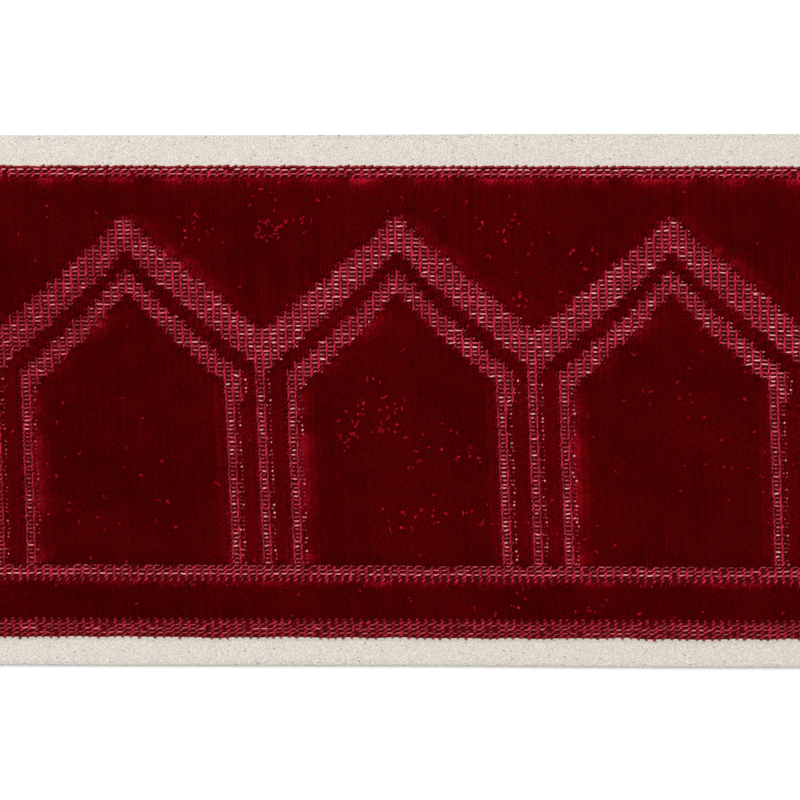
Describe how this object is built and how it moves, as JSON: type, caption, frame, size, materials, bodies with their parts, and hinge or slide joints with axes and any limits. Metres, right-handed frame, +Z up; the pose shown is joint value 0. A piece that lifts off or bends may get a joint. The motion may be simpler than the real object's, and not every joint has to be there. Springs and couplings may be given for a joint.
{
  "type": "cut length of velvet tape",
  "caption": "Flat cut length of wide woven velvet tape: plain pale margins, looped borders and an arcade of pointed arches in cut pile.",
  "frame": {"origin": "middle of the underside, on the surface that the tape lies on", "axes": "+X along the tape, +Y across it the way the arches point, +Z up out of the pile"},
  "size_m": [0.2584, 0.1002, 0.0028],
  "materials": {
    "velvet_pile": "deep crimson cut pile, soft and dull, brighter at its sides",
    "raspberry_yarn": "raspberry loops of the ground weave, slightly lustrous",
    "pale_yarn": "pale pink threads between the rows of loops",
    "plain_weave": "cream cotton twill, matt"
  },
  "bodies": {
    "root": {"velvet_tape": "velvet_pile"}
  },
  "joints": []
}
